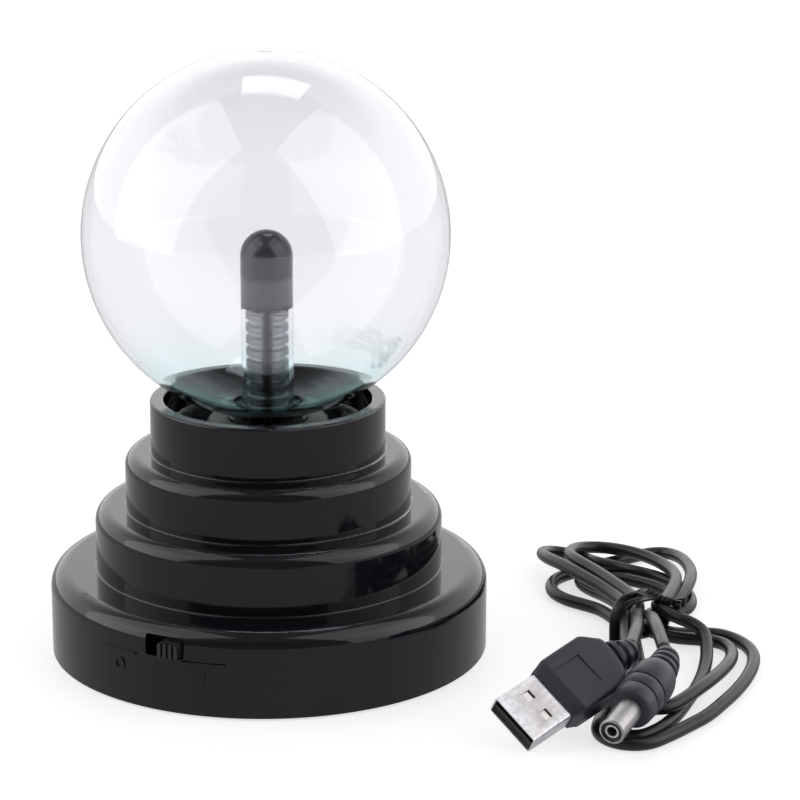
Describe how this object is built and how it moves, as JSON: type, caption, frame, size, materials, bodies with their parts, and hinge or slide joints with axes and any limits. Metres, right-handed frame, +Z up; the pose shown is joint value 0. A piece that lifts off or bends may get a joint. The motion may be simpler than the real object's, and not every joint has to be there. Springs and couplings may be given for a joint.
{
  "type": "plasma ball",
  "caption": "Clear glass plasma globe on a stepped round gloss base with a slide switch, battery bay and a tied power lead beside it.",
  "frame": {"origin": "centre of the base on the surface it stands on, under the middle of the globe", "axes": "+Z up along the globe's axis, -Y towards the front, +X to the right seen from the front"},
  "size_m": [0.1564, 0.1342, 0.1334],
  "materials": {
    "gloss_black": "high gloss moulded",
    "matte_black": "fine moulded texture",
    "pad_rubber": "soft pad",
    "screw_steel": "zinc plated",
    "board_green": "fibreglass board with solder mask",
    "ferrite": "sintered grey",
    "bobbin_plastic": "moulded",
    "copper_winding": "enamelled copper wire",
    "aluminium_sink": "extruded",
    "epoxy_black": "moulded epoxy",
    "capacitor_sleeve": "shrink sleeve",
    "film_red": "dipped lacquer",
    "resistor_beige": "lacquered",
    "contact_nickel": "nickel plated",
    "contact_gold": "gold flash",
    "switch_brown": "phenolic sheet",
    "cell_jacket": "printed film jacket",
    "clear_glass": "clear blown",
    "smoky_coating": "thin smoky film",
    "graphite": "packed conductive wool",
    "grey_silicone": "translucent silicone",
    "wire_red": "insulated wire",
    "seal_silicone": "cured sealant",
    "plug_metal": "tin plated",
    "cord_black": "satin flexible PVC",
    "plug_vinyl": "satin moulded PVC"
  },
  "bodies": {
    "base": {"housing_shell": "gloss_black", "bottom_cover": "matte_black", "rubber_feet": "pad_rubber", "housing_screws": "screw_steel", "circuit_board": "board_green", "board_screws": "screw_steel", "transformer_core": "ferrite", "transformer_bobbin": "bobbin_plastic", "transformer_winding": "copper_winding", "heat_sink": "aluminium_sink", "drive_transistor": "epoxy_black", "electrolytic_capacitor": "capacitor_sleeve", "film_capacitor": "film_red", "resistors": "resistor_beige", "supply_choke": "copper_winding", "socket_body": "matte_black", "socket_pin": "contact_nickel", "socket_spring": "contact_nickel", "switch_frame": "contact_nickel", "switch_base": "switch_brown", "switch_terminals": "contact_nickel", "battery_cells": "cell_jacket", "battery_plates": "contact_nickel", "battery_springs": "contact_nickel", "globe_glass": "clear_glass", "stem_tube": "clear_glass", "electrode_coating": "smoky_coating", "electrode_plug": "graphite", "ribbed_core": "grey_silicone", "high_voltage_lead": "wire_red", "globe_seal": "seal_silicone", "neck_ring": "pad_rubber", "battery_leads": "wire_red", "switch_leads": "wire_red", "socket_leads": "wire_red"},
    "switch": {"switch_slider": "matte_black"},
    "door": {"battery_door": "matte_black"},
    "power_lead": {"dc_barrel": "plug_metal", "dc_insulator": "matte_black", "dc_contact": "plug_metal", "dc_grip": "plug_vinyl", "usb_shell": "plug_metal", "usb_tongue": "matte_black", "usb_contacts": "contact_gold", "usb_body": "plug_vinyl", "dc_cord_end": "cord_black", "usb_cord_end": "cord_black", "upper_hank": "cord_black", "lower_hank": "cord_black", "lead_tie": "cord_black"}
  },
  "joints": [
    {"name": "switch_slide", "type": "slide", "parent": "base", "child": "switch", "axis": [-0.8878, 0.4602, 0], "range_m": [0, 0.0036]},
    {"name": "door_hinge", "type": "hinge", "parent": "base", "child": "door", "pos_m": [0, -0.0266, 0.0011], "axis": [-1, 0, 0], "range_deg": [0, 75]},
    {"name": "lead_lift", "type": "slide", "parent": "base", "child": "power_lead", "axis": [0, 0, 1], "range_m": [0, 0.12]}
  ]
}
